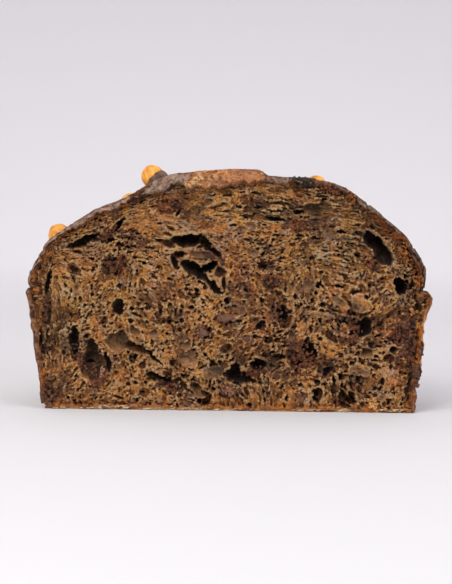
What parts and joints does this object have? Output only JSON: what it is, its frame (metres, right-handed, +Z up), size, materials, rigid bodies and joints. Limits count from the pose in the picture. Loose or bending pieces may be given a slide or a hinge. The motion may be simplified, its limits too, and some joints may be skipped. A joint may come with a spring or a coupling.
{
  "type": "halved chocolate panettone",
  "caption": "Half of a low domed chocolate panettone, cut flat through the middle, with whole hazelnuts on the crust and open crumb showing.",
  "frame": {"origin": "middle of the underside's bounding rectangle, on the surface that the loaf stands on", "axes": "+Z up, +Y from the cut face to the back of the loaf, +X to the right of someone who faces the cut"},
  "size_m": [0.2092, 0.1074, 0.1272],
  "materials": {
    "loaf": "matte brown open crumb, inside a darker baked crust",
    "hazelnut": "golden roasted, softly glossy from oil",
    "chocolate": "cut dark chocolate, waxy and slightly bloomed"
  },
  "bodies": {
    "root": {"loaf": "loaf", "hazelnut_1": "hazelnut", "hazelnut_2": "hazelnut", "hazelnut_3": "hazelnut", "hazelnut_4": "hazelnut", "hazelnut_5": "hazelnut", "hazelnut_6": "hazelnut", "hazelnut_7": "hazelnut", "hazelnut_8": "hazelnut", "hazelnut_9": "hazelnut", "hazelnut_10": "hazelnut", "hazelnut_11": "hazelnut", "chocolate_chip_1": "chocolate", "chocolate_chip_2": "chocolate", "chocolate_chip_3": "chocolate"}
  },
  "joints": []
}
